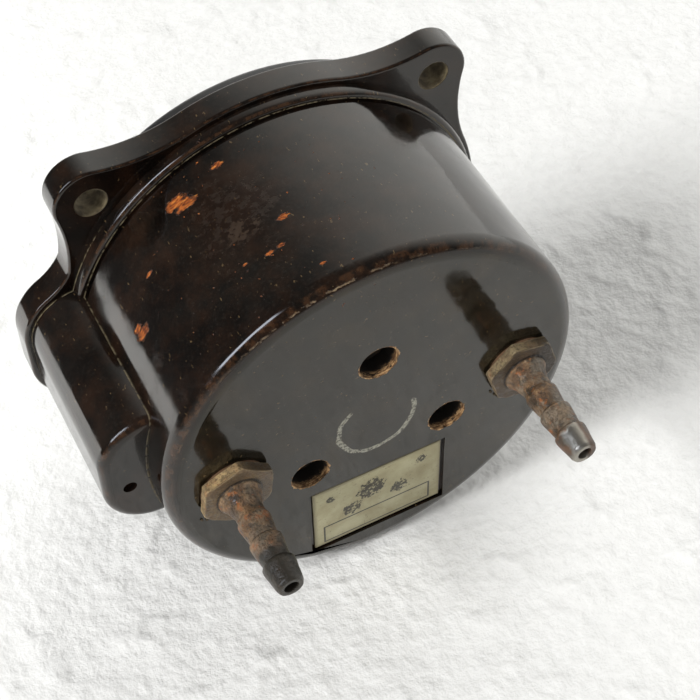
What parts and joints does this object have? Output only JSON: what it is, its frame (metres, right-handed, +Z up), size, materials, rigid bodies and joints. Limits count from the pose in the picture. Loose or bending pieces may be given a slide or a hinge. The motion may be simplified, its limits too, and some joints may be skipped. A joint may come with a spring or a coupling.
{
  "type": "vertical speed indicator",
  "caption": "Round panel instrument in a dark moulded case with a lugged flange, a side housing for the zero screw, two barbed hose nipples and a geared pointer worked by a pressure capsule.",
  "frame": {"origin": "centre of the flange's rear face, in the middle of the four bolt holes, where the instrument seats on its panel", "axes": "+Y runs back through the case towards the hose nipples, +Z is up on the dial, +X is right as seen from the dial side, so the side housing is at +X"},
  "size_m": [0.0884, 0.0708, 0.0818],
  "materials": {
    "phenolic": "glossy moulded phenolic, nearly black brown, chipped to orange brown",
    "bezel_black": "black enamel, worn at the edges",
    "glass": "flat clear cover glass",
    "rubber": "aged black rubber",
    "dial_black": "matt black paint with pale markings",
    "pointer_paint": "matt cream paint",
    "steel": "turned steel",
    "dark_steel": "blackened steel",
    "blued_steel": "blued spring steel",
    "brass": "brushed brass",
    "copper_alloy": "rolled beryllium bronze",
    "rusty_steel": "plated steel, rusted brown and worn grey on the flats",
    "fibre": "pressed fibre washer",
    "label_cream": "aged cream lacquered plate, blank, with dark smudges"
  },
  "bodies": {
    "case": {"case_housing": "phenolic", "bezel_ring": "bezel_black", "cover_glass": "glass", "glass_gasket": "rubber", "spacer_ring": "bezel_black", "dial_plate": "dial_black", "hairspring": "blued_steel", "hairspring_stud": "brass", "front_plate": "brass", "stop_pins": "steel", "bridge_plate": "brass", "bridge_pillars": "brass", "bridge_screws": "steel", "plate_pillars": "brass", "front_pillar_screws": "steel", "rear_pillar_screws": "steel", "base_plate": "brass", "rocker_bracket": "brass", "bracket_screws": "steel", "capsule_front": "copper_alloy", "capsule_rear": "copper_alloy", "capsule_stud": "brass", "stud_nut": "brass", "capsule_carrier": "steel", "carrier_screws": "steel", "choke_body": "brass", "choke_capillary": "steel", "feed_tube": "copper_alloy", "nipple_static": "rusty_steel", "nipple_vessel": "rusty_steel", "nipple_washers": "fibre", "nipple_nuts": "brass", "movement_screws": "dark_steel", "zero_bush": "brass", "zero_packing": "rubber", "lever_screw": "steel", "label_plate": "label_cream"},
    "pointer_group": {"pointer": "pointer_paint", "pointer_arbor": "steel", "arbor_pinion": "brass", "hairspring_collet": "brass"},
    "sector_group": {"sector_gear": "brass", "sector_staff": "steel", "drive_pin": "steel"},
    "rocker_group": {"rocking_shaft": "steel", "input_arm": "brass", "output_fork": "brass"},
    "capsule_centre": {"capsule_pip": "brass"},
    "zero_screw_group": {"zero_screw": "steel", "zero_pinion": "brass"},
    "zero_lever_group": {"zero_lever": "brass"}
  },
  "joints": [
    {"name": "sector_turn", "type": "hinge", "parent": "case", "child": "sector_group", "pos_m": [-0.02481, 0.005, -0.00903], "axis": [0, 1, 0], "range_deg": [-16, 16]},
    {"name": "pointer_turn", "type": "hinge", "parent": "case", "child": "pointer_group", "pos_m": [0, 0.005, 0], "axis": [0, 1, 0], "range_deg": [-160, 160], "deforming": ["hairspring"]},
    {"name": "rocker_turn", "type": "hinge", "parent": "case", "child": "rocker_group", "pos_m": [-0.01, 0.0133, -0.00903], "axis": [1, 0, 0], "range_deg": [-9.81, 9.81]},
    {"name": "capsule_swell", "type": "slide", "parent": "case", "child": "capsule_centre", "axis": [0, 1, 0], "range_m": [-0.00155, 0.00155], "deforming": ["capsule_front"]},
    {"name": "zero_screw_turn", "type": "hinge", "parent": "case", "child": "zero_screw_group", "pos_m": [0.0416, 0.01, 0], "axis": [0, 1, 0], "range_deg": [-90, 90]},
    {"name": "zero_lever_turn", "type": "hinge", "parent": "case", "child": "zero_lever_group", "pos_m": [0.0244, 0.028, 0], "axis": [0, 1, 0], "range_deg": [-11.84, 11.84]}
  ],
  "couplings": [
    {"joint": "pointer_turn", "follows": "sector_turn", "ratio": -10},
    {"joint": "rocker_turn", "follows": "sector_turn", "ratio": 0.613},
    {"joint": "capsule_swell", "follows": "sector_turn", "m_per_rad": -0.00553},
    {"joint": "zero_screw_turn", "follows": "zero_lever_turn", "ratio": -7.6}
  ]
}
